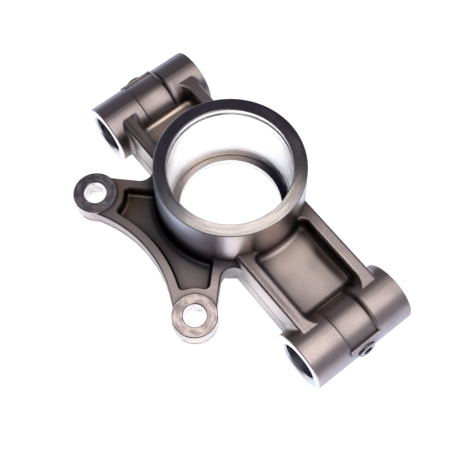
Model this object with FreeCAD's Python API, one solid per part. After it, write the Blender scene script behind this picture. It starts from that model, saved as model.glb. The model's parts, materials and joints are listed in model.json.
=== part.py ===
"""Rear wheel hub carrier for a light off-road vehicle: one aluminium casting.

A tall bearing ring stands between two pivot barrels. Channel-section arms join
them, and a dished bracket reaches out on one side to carry a brake caliper.
Millimetres. The origin lies on the bearing axis at the shoulder that the
bearing seats on, +Z points out of the bearing bore's mouth, +X towards the
longer arm, and the bracket lies on the -Y side.
"""

import FreeCAD
import Part

import math
import os

# Bearing seat, turned in the ring.
BORE_D = 58.0
BORE_DEPTH = 43.5
BORE_CHAMFER = 0.5
GROOVE_D = 61.0
GROOVE_WIDTH = 2.15
GROOVE_SETBACK = 2.35
RELIEF_WIDTH = 1.0
RELIEF_DEPTH = 0.35
LIP_HOLE_D = 51.1
LIP_CHAMFER = 0.5

# Ring casting round the seat.
RING_WALL = 6.2
RING_DRAFT = 2.0
RING_EDGE = 0.35

# Pivot barrels. Their axes run along Y.
LONG_ARM = 83.2
SHORT_ARM = 66.1
BARREL_HEIGHT = 9.25
BARREL_OD = 29.8
BARREL_LENGTH = 55.0
BARREL_MID_Y = 0.55
BARREL_EDGE = 0.4
PIVOT_BORE_D = 19.0
PIVOT_CHAMFER = 0.8

# Shallow window cast into each barrel. Angles rise from the arm's side.
WINDOW_DEPTH = 1.5
WINDOW_LENGTH = 17.1
WINDOW_RUN = 1.0
WINDOW_LEDGE_ANGLE = 41.0
WINDOW_DEEPEST_ANGLE = 70.0
WINDOW_END_ANGLE = 160.0

# Pad bar and grease boss on each barrel's outer side.
PAD_ANGLE = 150.0
PAD_WIDTH = 2.8
PAD_PROUD = 0.6
BOSS_ANGLE = 171.0
BOSS_D = 9.0
BOSS_PROUD = 1.1
BOSS_EDGE = 0.4
GREASE_HOLE_D = 4.8

# Channel arms: two ribs and a web between them.
ARM_SET_IN = 1.15
ARM_MID_Y = 1.2
RIB_SPACING = 37.3
RIB_THICKNESS = 6.4
RIB_EDGE_R = 1.6
ARM_DRAFT = 2.0
ARM_BLEND_R = 2.0
POCKET_DEPTH = 7.0
WEB_DROP = 1.25
POCKET_CORNER_R = 3.6
POCKET_FLOOR_R = 3.0
RIM_R = 1.4
UNDER_FLOOR_EDGE = 1.5
UNDER_RIM_EDGE = 0.8

# Caliper bracket.
EAR_SPACING = 78.4
EAR_REACH = 51.5
EAR_D = 21.2
EAR_FACE_HEIGHT = 18.1
EAR_EDGE = 0.4
EAR_HOLE_D = 10.8
PLATE_TOP = 17.0
PLATE_THICKNESS = 10.5
PLATE_EDGE = 0.8
ARCH_R = 60.0
ARCH_CROWN = 49.1
FLANK_ANGLE = 45.0
FLANK_OFFSET = 9.4
NECK_R = 6.2
EAR_BLEND_R = 3.0
DISH_DEPTH = 6.0
DISH_RIM = 4.7
DISH_EAR_WALL = 3.2
DISH_CORNER_R = 2.2
DISH_FLOOR_R = 1.8
DISH_EDGE = 0.5

# Overlap that lets neighbouring forms fuse, and reach of cuts past a face.
BITE = 2.0
POCKET_RISE = 12.0
POCKET_BITE = 0.1

# Places worked out from the sizes above.
BORE_R = BORE_D / 2
RIM_Z = BORE_DEPTH
BARREL_R = BARREL_OD / 2
ARM_DEPTH = BARREL_OD - 2 * ARM_SET_IN
ARM_TOP = BARREL_HEIGHT + ARM_DEPTH / 2
ARM_BOTTOM = BARREL_HEIGHT - ARM_DEPTH / 2
RING_TOP_R = BORE_R + RING_WALL
BORE_CLEAR_R = (BARREL_R + PIVOT_BORE_D / 2) / 2
EAR_R = EAR_D / 2
WEB_TOP = ARM_TOP - POCKET_DEPTH
WEB_BOTTOM = BARREL_HEIGHT - WEB_DROP
PLATE_BOTTOM = PLATE_TOP - PLATE_THICKNESS
DISH_FLOOR = PLATE_TOP - DISH_DEPTH
ARCH_Y = -(ARCH_CROWN + ARCH_R)
EARS = ((-EAR_SPACING / 2, -EAR_REACH), (EAR_SPACING / 2, -EAR_REACH))

X_AXIS = FreeCAD.Vector(1, 0, 0)
Y_AXIS = FreeCAD.Vector(0, 1, 0)
Z_AXIS = FreeCAD.Vector(0, 0, 1)


def cylinder(radius, start, direction, length):
    """Return a solid cylinder from a start point along a direction."""
    return Part.makeCylinder(radius, length, FreeCAD.Vector(*start), direction)


def solid_of(shape):
    """Return the one solid of a fused shape, with its seams cleaned away."""
    return shape.removeSplitter().Solids[0]


def polygon(points):
    """Return the closed wire through the points, in order."""
    vectors = [FreeCAD.Vector(*point) for point in points]
    return Part.makePolygon(vectors + vectors[:1])


def rounded_polygon(points, radii):
    """Return a closed wire through the points with each corner rounded.

    A radius of 0 leaves its corner sharp.
    """
    edges = []
    ends = []
    for index, radius in enumerate(radii):
        corner = FreeCAD.Vector(*points[index])
        before = FreeCAD.Vector(*points[index - 1]) - corner
        after = FreeCAD.Vector(*points[(index + 1) % len(points)]) - corner
        if radius == 0:
            ends.append((corner, corner))
            continue
        before.normalize()
        after.normalize()
        half = before.getAngle(after) / 2
        inwards = before + after
        inwards.normalize()
        arc_start = corner + before * (radius / math.tan(half))
        arc_end = corner + after * (radius / math.tan(half))
        arc_mid = corner + inwards * (radius / math.sin(half) - radius)
        edges.append(Part.Arc(arc_start, arc_mid, arc_end).toShape())
        ends.append((arc_start, arc_end))
    for index, (_, line_start) in enumerate(ends):
        line_end = ends[(index + 1) % len(ends)][0]
        edges.append(Part.LineSegment(line_start, line_end).toShape())
    return Part.Wire(Part.__sortEdges__(edges))


def prism(wire, travel):
    """Return the solid that a closed flat wire sweeps along a vector."""
    return Part.Face(wire).extrude(travel)


def at_height(form, height):
    """Tell whether a whole edge or face lies in the level plane at a height."""
    box = form.BoundBox
    return abs(box.ZMin - height) < 0.01 and abs(box.ZMax - height) < 0.01


def ring_radius(height):
    """Return the outer radius of the ring's drafted wall at a height."""
    return RING_TOP_R + (RIM_Z - height) * math.tan(math.radians(RING_DRAFT))


def ring_wall_cone(low, high):
    """Return a cone frustum that carries the ring's outer wall."""
    base = FreeCAD.Vector(0, 0, low)
    return Part.makeCone(ring_radius(low), ring_radius(high), high - low, base)


def ring_casting():
    """Return the drafted outer form of the bearing ring, still solid."""
    profile = polygon([
        (0, 0, ARM_BOTTOM),
        (ring_radius(ARM_BOTTOM), 0, ARM_BOTTOM),
        (ring_radius(RIM_Z - RING_EDGE), 0, RIM_Z - RING_EDGE),
        (RING_TOP_R - RING_EDGE, 0, RIM_Z),
        (0, 0, RIM_Z),
    ])
    return Part.Face(profile).revolve(FreeCAD.Vector(), Z_AXIS, 360)


def bearing_seat_void():
    """Return the turned hollow: lip hole, shoulder, relief, bore and groove."""
    groove_r = GROOVE_D / 2
    lip_r = LIP_HOLE_D / 2
    relief_r = BORE_R + RELIEF_DEPTH
    groove_top = RIM_Z - GROOVE_SETBACK
    groove_bottom = groove_top - GROOVE_WIDTH
    profile = polygon([
        (0, 0, ARM_BOTTOM - BITE),
        (lip_r + LIP_CHAMFER + BITE, 0, ARM_BOTTOM - BITE),
        (lip_r, 0, ARM_BOTTOM + LIP_CHAMFER),
        (lip_r, 0, 0),
        (relief_r, 0, 0),
        (relief_r, 0, RELIEF_WIDTH),
        (BORE_R, 0, RELIEF_WIDTH + RELIEF_DEPTH),
        (BORE_R, 0, groove_bottom),
        (groove_r, 0, groove_bottom),
        (groove_r, 0, groove_top),
        (BORE_R, 0, groove_top),
        (BORE_R, 0, RIM_Z - BORE_CHAMFER),
        (BORE_R + BORE_CHAMFER + BITE, 0, RIM_Z + BITE),
        (0, 0, RIM_Z + BITE),
    ])
    return Part.Face(profile).revolve(FreeCAD.Vector(), Z_AXIS, 360)


def arm_block(reach):
    """Return an arm as a plain bar, drafted both ways from its parting line."""
    top_half_width = RIB_SPACING / 2 + RIB_THICKNESS / 2
    spread = ARM_DEPTH / 2 * math.tan(math.radians(ARM_DRAFT))
    corners = []
    radii = []
    for side in (-1, 1):
        face_y = ARM_MID_Y + side * top_half_width
        parting_y = face_y + side * spread
        heights = (ARM_TOP, BARREL_HEIGHT, ARM_BOTTOM)[::-side]
        for height in heights:
            is_parting = height == BARREL_HEIGHT
            corners.append((0, parting_y if is_parting else face_y, height))
            radii.append(0 if is_parting else RIB_EDGE_R)
    return prism(rounded_polygon(corners, radii), X_AXIS * reach)


def barrel_body(reach):
    """Return a pivot barrel as a plain round bar with broken end edges."""
    start_y = BARREL_MID_Y - BARREL_LENGTH / 2
    bar = cylinder(BARREL_R, (reach, start_y, BARREL_HEIGHT), Y_AXIS, BARREL_LENGTH)
    ends = [edge for edge in bar.Edges if edge.BoundBox.YLength < 0.01]
    return bar.makeChamfer(BARREL_EDGE, ends)


def rib_blends(reach):
    """Return the outer halves of both ribs, filleted into a solid barrel."""
    joined = solid_of(arm_block(reach).fuse(barrel_body(reach)))
    seams = [
        edge for edge in joined.Edges
        if edge.BoundBox.XMin > reach - BARREL_R - 0.1 and edge.BoundBox.XMax < reach - 0.1
    ]
    blended = joined.makeFillet(ARM_BLEND_R, seams)
    core_half = RIB_SPACING / 2 - RIB_THICKNESS / 2 + RIM_R
    corner = FreeCAD.Vector(-BITE, ARM_MID_Y - core_half, ARM_BOTTOM - ARM_DEPTH)
    core = Part.makeBox(2 * reach, 2 * core_half, 3 * ARM_DEPTH, corner)
    return blended.cut(core).Solids


def pocket_void(reach, floor, mouth):
    """Return the hollow of an arm's pocket, from its floor out past its mouth.

    It stops at the ring and at the barrel, and its corners are rounded.
    """
    outwards = math.copysign(1, mouth - floor)
    inner_half = RIB_SPACING / 2 - RIB_THICKNESS / 2
    slope = math.tan(math.radians(ARM_DRAFT))
    past_mouth = mouth + outwards * POCKET_RISE
    floor_half = inner_half - abs(mouth - floor) * slope
    mouth_half = inner_half + POCKET_RISE * slope
    section = polygon([
        (0, ARM_MID_Y - floor_half, floor),
        (0, ARM_MID_Y + floor_half, floor),
        (0, ARM_MID_Y + mouth_half, past_mouth),
        (0, ARM_MID_Y - mouth_half, past_mouth),
    ])
    void = prism(section, X_AXIS * reach)
    low, high = sorted((floor - outwards, past_mouth + outwards))
    barrel_start = (reach, -BARREL_LENGTH, BARREL_HEIGHT)
    barrel = cylinder(BARREL_R - POCKET_BITE, barrel_start, Y_AXIS, 2 * BARREL_LENGTH)
    void = void.cut([ring_wall_cone(low, high), barrel]).Solids[0]
    corners = [edge for edge in void.Edges if edge.BoundBox.ZLength > 1]
    void = void.makeFillet(POCKET_CORNER_R, corners)
    floor_edges = [edge for edge in void.Edges if at_height(edge, floor)]
    if mouth < floor:
        return void.makeChamfer(UNDER_FLOOR_EDGE, floor_edges)
    return void.makeFillet(POCKET_FLOOR_R, floor_edges)


def channel_bar(reach):
    """Return an arm's bar with both pockets sunk in it and their rims broken."""
    bar = arm_block(reach).cut([
        pocket_void(reach, WEB_TOP, ARM_TOP),
        pocket_void(reach, WEB_BOTTOM, ARM_BOTTOM),
    ]).Solids[0]
    bar = bar.makeFillet(RIM_R, pocket_rims(bar, ARM_TOP))
    return bar.makeChamfer(UNDER_RIM_EDGE, pocket_rims(bar, ARM_BOTTOM))


def pocket_rims(bar, mouth):
    """Return the edges round a pocket's mouth, on the ribs' inner sides."""
    return [
        edge for edge in bar.Edges
        if at_height(edge, mouth)
        and edge.BoundBox.XMin > BORE_R
        and abs(edge.BoundBox.Center.y - ARM_MID_Y) < RIB_SPACING / 2
    ]


def window_void(reach):
    """Return the cut that leaves a barrel's shallow, fading window.

    It turns about an axis set back from the barrel's, so that the window is
    deepest towards the arm and runs out before the outer side.
    """
    deepest = math.radians(180 - WINDOW_DEEPEST_ANGLE)
    centre = FreeCAD.Vector(
        reach - WINDOW_DEPTH * math.cos(deepest),
        BARREL_MID_Y,
        BARREL_HEIGHT - WINDOW_DEPTH * math.sin(deepest),
    )
    half_floor = WINDOW_LENGTH / 2 - WINDOW_RUN
    half_mouth = half_floor + 2 * WINDOW_RUN
    low_r = BARREL_R
    high_r = BARREL_R + 2 * WINDOW_DEPTH
    section = polygon([
        (low_r, -half_floor, 0),
        (high_r, -half_mouth, 0),
        (high_r, half_mouth, 0),
        (low_r, half_floor, 0),
    ])
    start = 180 - WINDOW_END_ANGLE
    sweep = WINDOW_END_ANGLE - WINDOW_LEDGE_ANGLE
    void = Part.Face(section).revolve(FreeCAD.Vector(), -Y_AXIS, sweep)
    void.rotate(FreeCAD.Vector(), -Y_AXIS, start)
    void.translate(centre)
    return void


def turn_to(shape, angle, reach):
    """Place a form made along +X round a barrel, at an angle from the arm's side."""
    shape.rotate(FreeCAD.Vector(), -Y_AXIS, 180 - angle)
    shape.translate(FreeCAD.Vector(reach, BARREL_MID_Y, BARREL_HEIGHT))
    return shape


def pad_bar(reach):
    """Return the thin raised bar beside a barrel's grease boss."""
    corner = FreeCAD.Vector(BORE_CLEAR_R, -WINDOW_LENGTH / 2, -PAD_WIDTH / 2)
    height = BARREL_R + PAD_PROUD - BORE_CLEAR_R
    return turn_to(Part.makeBox(height, WINDOW_LENGTH, PAD_WIDTH, corner), PAD_ANGLE, reach)


def grease_boss(reach):
    """Return the round boss on a barrel's outer side."""
    length = BARREL_R + BOSS_PROUD - BORE_CLEAR_R
    boss = cylinder(BOSS_D / 2, (BORE_CLEAR_R, 0, 0), X_AXIS, length)
    rim = [edge for edge in boss.Edges if edge.BoundBox.XMin > BARREL_R]
    return turn_to(boss.makeChamfer(BOSS_EDGE, rim), BOSS_ANGLE, reach)


def hole_void(radius, length, chamfer):
    """Return a hole's void along Z from the origin, chamfered at both ends."""
    flare = chamfer + BITE
    profile = polygon([
        (0, 0, -BITE),
        (radius + flare, 0, -BITE),
        (radius, 0, chamfer),
        (radius, 0, length - chamfer),
        (radius + flare, 0, length + BITE),
        (0, 0, length + BITE),
    ])
    return Part.Face(profile).revolve(FreeCAD.Vector(), Z_AXIS, 360)


def pivot_voids(reach):
    """Return the turned pivot bore, chamfered at both ends, and the grease hole."""
    bore = hole_void(PIVOT_BORE_D / 2, BARREL_LENGTH, PIVOT_CHAMFER)
    bore.rotate(FreeCAD.Vector(), -X_AXIS, 90)
    bore.translate(FreeCAD.Vector(reach, BARREL_MID_Y - BARREL_LENGTH / 2, BARREL_HEIGHT))
    hole_length = BARREL_R + BOSS_PROUD + BITE
    grease_hole = cylinder(GREASE_HOLE_D / 2, (0, 0, 0), X_AXIS, hole_length)
    return [bore, turn_to(grease_hole, BOSS_ANGLE, reach)]


def channel_arm(reach):
    """Return one arm with its barrel, finished but for the bearing seat."""
    body = channel_bar(reach).fuse([barrel_body(reach)] + rib_blends(reach))
    body = solid_of(body.cut(window_void(reach)))
    body = body.fuse([pad_bar(reach), grease_boss(reach)])
    return solid_of(body.cut(pivot_voids(reach)))


def flank_foot(offset):
    """Return the point beside the right ear that its flank line passes."""
    angle = math.radians(FLANK_ANGLE)
    ear_x, ear_y = EARS[1]
    return ear_x + offset * math.sin(angle), ear_y + offset * math.cos(angle)


def flank_x(offset, height_y):
    """Return where the right flank line crosses a line of constant Y."""
    foot_x, foot_y = flank_foot(offset)
    return foot_x - (height_y - foot_y) / math.tan(math.radians(FLANK_ANGLE))


def upright(radius, centre, low, high):
    """Return a solid cylinder that stands on a plan point between two heights."""
    return cylinder(radius, (*centre, low), Z_AXIS, high - low)


def bracket_plate():
    """Return the bracket's plate, with the arch cut and every edge broken."""
    wall_y = ARM_MID_Y - RIB_SPACING / 2 - RIB_THICKNESS / 2
    neck_x = flank_x(FLANK_OFFSET, wall_y)
    far_x = neck_x + NECK_R / math.tan(math.radians(FLANK_ANGLE / 2)) + BITE
    foot_x, foot_y = flank_foot(FLANK_OFFSET)
    skirt_y = -EAR_REACH - EAR_R + PLATE_EDGE
    right = [
        (EARS[1][0], skirt_y),
        (foot_x, foot_y),
        (neck_x, wall_y),
        (far_x, wall_y),
        (far_x, wall_y + BITE),
    ]
    left = [(-x, y) for x, y in reversed(right)]
    radii = [0, 0, NECK_R, 0, 0]
    corners = [(x, y, PLATE_BOTTOM) for x, y in right + left]
    plate = prism(rounded_polygon(corners, radii + radii[::-1]), Z_AXIS * PLATE_THICKNESS)
    arch = upright(ARCH_R, (0, ARCH_Y), PLATE_BOTTOM - BITE, PLATE_TOP + BITE)
    ears = [upright(EAR_R, ear, PLATE_BOTTOM, PLATE_TOP) for ear in EARS]
    plate = solid_of(plate.cut(arch).fuse(ears))
    notches = [edge for edge in plate.Edges if is_ear_notch(edge)]
    plate = plate.makeFillet(EAR_BLEND_R, notches)
    outline = [
        edge for edge in plate.Edges
        if (at_height(edge, PLATE_TOP) or at_height(edge, PLATE_BOTTOM))
        and edge.BoundBox.YMax < wall_y + 0.01
    ]
    return plate.makeChamfer(PLATE_EDGE, outline)


def is_ear_notch(edge):
    """Tell whether an upright edge lies where an ear's wall meets the plate's."""
    middle = edge.BoundBox.Center
    is_upright = edge.BoundBox.ZLength > PLATE_THICKNESS - 0.1
    on_seam = abs(middle.y + EAR_REACH) < 0.1
    gaps = [math.hypot(middle.x - x, middle.y - y) - EAR_R for x, y in EARS]
    return is_upright and not on_seam and min(map(abs, gaps)) < 0.01


def ear_pad(centre):
    """Return the raised pad of an ear, with a broken edge round its face."""
    pad = upright(EAR_R, centre, PLATE_BOTTOM + PLATE_EDGE, EAR_FACE_HEIGHT)
    rim = [edge for edge in pad.Edges if at_height(edge, EAR_FACE_HEIGHT)]
    return pad.makeChamfer(EAR_EDGE, rim)


def dish_void():
    """Return the hollow sunk in the bracket between ring, arch, ears and flanks."""
    offset = FLANK_OFFSET - DISH_RIM
    skirt_y = -EAR_REACH - EAR_R
    skirt_x = flank_x(offset, skirt_y)
    peak_y = skirt_y + skirt_x * math.tan(math.radians(FLANK_ANGLE))
    outline = polygon([
        (-skirt_x, skirt_y, DISH_FLOOR),
        (skirt_x, skirt_y, DISH_FLOOR),
        (0, peak_y, DISH_FLOOR),
    ])
    low = DISH_FLOOR - BITE
    high = RIM_Z
    keep_out = [ring_wall_cone(low, high + BITE)]
    keep_out.append(upright(ARCH_R + DISH_RIM, (0, ARCH_Y), low, high + BITE))
    keep_out += [upright(EAR_R + DISH_EAR_WALL, ear, low, high + BITE) for ear in EARS]
    pieces = prism(outline, Z_AXIS * (high - DISH_FLOOR)).cut(keep_out).Solids
    void = max(pieces, key=lambda piece: piece.Volume)
    corners = [edge for edge in void.Edges if edge.BoundBox.ZLength > DISH_DEPTH]
    void = void.makeFillet(DISH_CORNER_R, corners)
    floor_edges = [edge for edge in void.Edges if at_height(edge, DISH_FLOOR)]
    waist = ARCH_CROWN - DISH_RIM - ring_radius(DISH_FLOOR)
    return void.makeFillet(min(DISH_FLOOR_R, waist / 3), floor_edges)


def dish_mouth(plate):
    """Return the edges round the dish's mouth, in the plate's top face."""
    top = next(face for face in plate.Faces if at_height(face, PLATE_TOP))
    return [
        edge for wire in top.Wires
        if not wire.isSame(top.OuterWire)
        for edge in wire.Edges
    ]


def caliper_bracket():
    """Return the bracket with its ears, dish and bolt holes."""
    plate = bracket_plate().cut(dish_void()).Solids[0]
    plate = plate.makeChamfer(DISH_EDGE, dish_mouth(plate))
    body = plate.fuse([ear_pad(ear) for ear in EARS])
    holes = []
    for x, y in EARS:
        hole = hole_void(EAR_HOLE_D / 2, EAR_FACE_HEIGHT - PLATE_BOTTOM, EAR_EDGE)
        hole.translate(FreeCAD.Vector(x, y, PLATE_BOTTOM))
        holes.append(hole)
    return solid_of(body.cut(holes))


def build_carrier():
    """Return the whole casting."""
    long_side = channel_arm(LONG_ARM)
    short_side = channel_arm(SHORT_ARM).mirror(FreeCAD.Vector(), X_AXIS)
    body = ring_casting().fuse([long_side, short_side, caliper_bracket()])
    return solid_of(body.cut(bearing_seat_void()))


if __name__ == "__main__":
    os.makedirs("parts", exist_ok=True)
    carrier = build_carrier()
    carrier.exportStep("parts/hub_carrier.step")
    print("hub_carrier", carrier.isValid(), round(carrier.Volume), len(carrier.Faces))
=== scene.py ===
"""Dress the wheel hub carrier: finishes, casting detail, studio and camera.

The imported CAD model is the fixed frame. One piece stands in for its node: a
merged copy of the node's own mesh, whose faces are sorted into the finishes
that the real casting has. The flash on the mould's parting line is the only
shape that is added. Lengths are in metres, in the frame's own axes.
"""
import json
import logging
import math
from dataclasses import dataclass, field
from enum import Enum

import bmesh
import bpy
import numpy as np
from mathutils import Matrix, Vector


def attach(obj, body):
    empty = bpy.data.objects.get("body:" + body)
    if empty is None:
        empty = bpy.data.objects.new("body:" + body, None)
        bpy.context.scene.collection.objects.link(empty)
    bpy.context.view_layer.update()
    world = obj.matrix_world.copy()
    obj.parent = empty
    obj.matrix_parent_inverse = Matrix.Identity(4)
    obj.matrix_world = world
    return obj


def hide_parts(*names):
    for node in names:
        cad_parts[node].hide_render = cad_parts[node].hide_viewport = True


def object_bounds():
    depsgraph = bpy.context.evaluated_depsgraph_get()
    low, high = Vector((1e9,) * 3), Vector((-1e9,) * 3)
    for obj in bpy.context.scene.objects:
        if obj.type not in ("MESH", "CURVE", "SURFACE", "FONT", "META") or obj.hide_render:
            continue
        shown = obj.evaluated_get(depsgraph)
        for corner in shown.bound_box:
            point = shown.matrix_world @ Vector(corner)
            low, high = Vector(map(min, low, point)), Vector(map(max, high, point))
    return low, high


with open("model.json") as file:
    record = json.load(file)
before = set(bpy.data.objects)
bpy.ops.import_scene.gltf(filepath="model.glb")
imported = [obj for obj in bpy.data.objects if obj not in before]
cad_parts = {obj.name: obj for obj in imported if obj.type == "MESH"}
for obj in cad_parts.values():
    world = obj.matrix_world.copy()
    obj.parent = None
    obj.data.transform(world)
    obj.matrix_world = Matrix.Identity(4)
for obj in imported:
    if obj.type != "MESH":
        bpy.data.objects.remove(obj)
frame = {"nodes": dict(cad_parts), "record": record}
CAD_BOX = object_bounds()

LOG = logging.getLogger("hub_carrier")
MM = 0.001
NODE = "hub_carrier"
BODY = "root"
IMAGE_SIDE_PX = 452

BLACK = (0.0, 0.0, 0.0, 1.0)
WHITE = (1.0, 1.0, 1.0, 1.0)
NOISE_MIDDLE = 0.5
LEVEL_NORMAL = 0.99  # a face is level where its normal's upward share is over this
FACE_SLACK = 0.05 * MM  # tolerance on a machined face's place
NUMBER = "NodeSocketFloat"
GEOMETRY = "NodeSocketGeometry"
MIX_INPUTS = (0, 6, 7)  # factor and colours: the Mix node names each type's sockets alike
MIX_OUTPUT = 2
VECTOR_TO_NUMBER = ("LENGTH", "DISTANCE", "DOT_PRODUCT")

Socket = bpy.types.NodeSocket
Value = bpy.types.NodeSocket | bpy.types.Material | float | tuple


class Finish(Enum):
    """The finishes on the casting, in the order of its material slots."""

    CAST_SKIN = 0
    TURNED_BORE = 1
    SEAT_FLOOR = 2
    FACED_RIM = 3
    EAR_FACE = 4
    END_FACE = 5
    BOLT_HOLE = 6
    BORED_HOLE = 7


class ToolAxis(Enum):
    """The way of a cutting tool's axis: the axis beside it, after X, and its own."""

    UPRIGHT = (1, 2)
    CROSSWISE = (2, 1)


def mount(name: str) -> dict:
    """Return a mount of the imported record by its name."""
    return next(entry for entry in frame["record"]["mounts"] if entry["name"] == name)


LONG_X, _, BARREL_Z = mount("long_pivot_bore")["pos_m"]
SHORT_X = mount("short_pivot_bore")["pos_m"][0]


# Shader node helpers.


@dataclass
class Graph:
    """A node tree with short ways to add and join nodes.

    Attributes:
        tree: The node tree that is being built.
    """

    tree: bpy.types.NodeTree

    def add(self, kind: str, inputs: dict | None = None, **settings: object) -> bpy.types.Node:
        """Add a node.

        Args:
            kind: The node's type name.
            inputs: Socket names or indices, each with a value or a socket to link.
            **settings: Properties to set on the node before its inputs.

        Returns:
            The new node.
        """
        node = self.tree.nodes.new(kind)
        for name, value in settings.items():
            setattr(node, name, value)
        for name, value in (inputs or {}).items():
            self.feed(node.inputs[name], value)
        return node

    def feed(self, socket: Socket, value: Value) -> None:
        """Link a socket to another one, or give it a constant.

        Args:
            socket: The input socket.
            value: An output socket, or what the input takes as a constant.
        """
        if isinstance(value, Socket):
            self.tree.links.new(value, socket)
        else:
            socket.default_value = value

    def math(self, operation: str, first: Value, second: Value = 0.0) -> Socket:
        """Return the result of a Math node on one or two numbers."""
        node = self.add("ShaderNodeMath", {0: first, 1: second}, operation=operation)
        return node.outputs[0]

    def vector(self, operation: str, first: Value, second: Value = (0.0, 0.0, 0.0)) -> Socket:
        """Return the result of a Vector Math node, a vector or a number."""
        node = self.add("ShaderNodeVectorMath", {0: first, 1: second}, operation=operation)
        return node.outputs["Value" if operation in VECTOR_TO_NUMBER else "Vector"]

    def spread(self, value: Value, band: tuple, result: tuple = (0.0, 1.0)) -> Socket:
        """Return a number mapped smoothly from the ends of a band to two results."""
        inputs = dict(enumerate((value, *band, *result)))
        return self.add("ShaderNodeMapRange", inputs, interpolation_type="SMOOTHSTEP").outputs[0]

    def blend(self, factor: Value, first: Value, second: Value) -> Socket:
        """Return a mix of two colours, by the share of the second."""
        inputs = dict(zip(MIX_INPUTS, (factor, first, second)))
        return self.add("ShaderNodeMix", inputs, data_type="RGBA").outputs[MIX_OUTPUT]

    def noise(self, place: Socket, scale: Value, detail: float, roughness: float = 0.5) -> Socket:
        """Return the value of a Noise Texture."""
        inputs = {"Vector": place, "Scale": scale, "Detail": detail, "Roughness": roughness}
        return self.add("ShaderNodeTexNoise", inputs).outputs[0]

    def bump(self, height: Socket, depth: float, strength: float) -> Socket:
        """Return the normal of a surface with a height laid on it."""
        inputs = {"Height": height, "Distance": depth, "Strength": strength}
        return self.add("ShaderNodeBump", inputs).outputs[0]

    def ramp(self, value: Value, stops: tuple) -> Socket:
        """Change a colour smoothly through stops.

        Args:
            value: The place on the ramp.
            stops: A place and a colour for each stop.

        Returns:
            The colour at that place.
        """
        node = self.add("ShaderNodeValToRGB", {0: value})
        node.color_ramp.interpolation = "EASE"
        points = node.color_ramp.elements
        while len(points) < len(stops):
            points.new(1.0)
        for point, (place, colour) in zip(points, stops):
            point.position = place
            point.color = colour
        return node.outputs[0]


def new_group(
    name: str, inputs: dict[str, float], outputs: tuple[str, ...]
) -> tuple[Graph, bpy.types.Node, bpy.types.Node]:
    """Start a shader node group with number sockets.

    Args:
        name: The group's name.
        inputs: Names of its inputs, with their defaults.
        outputs: Names of its outputs.

    Returns:
        The group's graph, its input node and its output node.
    """
    tree = bpy.data.node_groups.new(name, "ShaderNodeTree")
    for label, default in inputs.items():
        socket = tree.interface.new_socket(label, in_out="INPUT", socket_type=NUMBER)
        socket.default_value = default
    for label in outputs:
        tree.interface.new_socket(label, in_out="OUTPUT", socket_type=NUMBER)
    graph = Graph(tree)
    return graph, graph.add("NodeGroupInput"), graph.add("NodeGroupOutput")


def start_material(name: str) -> tuple[bpy.types.Material, Graph, bpy.types.Node]:
    """Start a node material.

    Args:
        name: The material's name.

    Returns:
        The material, its graph and its Principled BSDF.
    """
    material = bpy.data.materials.new(name)
    material.use_nodes = True
    graph = Graph(material.node_tree)
    return material, graph, material.node_tree.nodes["Principled BSDF"]


# Effects that several finishes share.


@dataclass(frozen=True)
class BlastGrain:
    """The pitted grain and slow tone changes of a blasted casting.

    Attributes:
        grain: Grains per metre.
        patches: Patches of tone per metre.
        pit_share: Height of the pits beside that of the grain.
        patch_band: Noise levels between which a patch changes tone.
        grain_band: Noise levels between which the grain changes tone.
        patch_share: Share of the patches in the tone. The grain has the rest.
    """

    grain: float = 1500.0
    patches: float = 55.0
    pit_share: float = 0.6
    patch_band: tuple = (0.32, 0.68)
    grain_band: tuple = (0.36, 0.64)
    patch_share: float = 0.55

    def build(self) -> bpy.types.NodeTree:
        """Build the node group.

        Returns:
            A group that takes both pitches and gives a height and a tone.
        """
        graph, given, made = new_group(
            "blast_grain",
            {"Grain per metre": self.grain, "Patches per metre": self.patches},
            ("Height", "Tone"),
        )
        grain, patches = given.outputs[:2]
        place = graph.add("ShaderNodeTexCoord").outputs["Object"]
        fine = graph.noise(place, grain, 3.0)
        broad = graph.noise(place, patches, 2.0)
        pits = graph.add("ShaderNodeTexVoronoi", {"Vector": place, "Scale": grain})
        pitted = graph.math("MULTIPLY", pits.outputs[0], self.pit_share)
        graph.feed(made.inputs["Height"], graph.math("ADD", fine, pitted))
        slow = graph.math("MULTIPLY", graph.spread(broad, self.patch_band), self.patch_share)
        quick = graph.spread(fine, self.grain_band)
        quick = graph.math("MULTIPLY", quick, 1.0 - self.patch_share)
        graph.feed(made.inputs["Tone"], graph.math("ADD", slow, quick))
        return graph.tree


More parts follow.
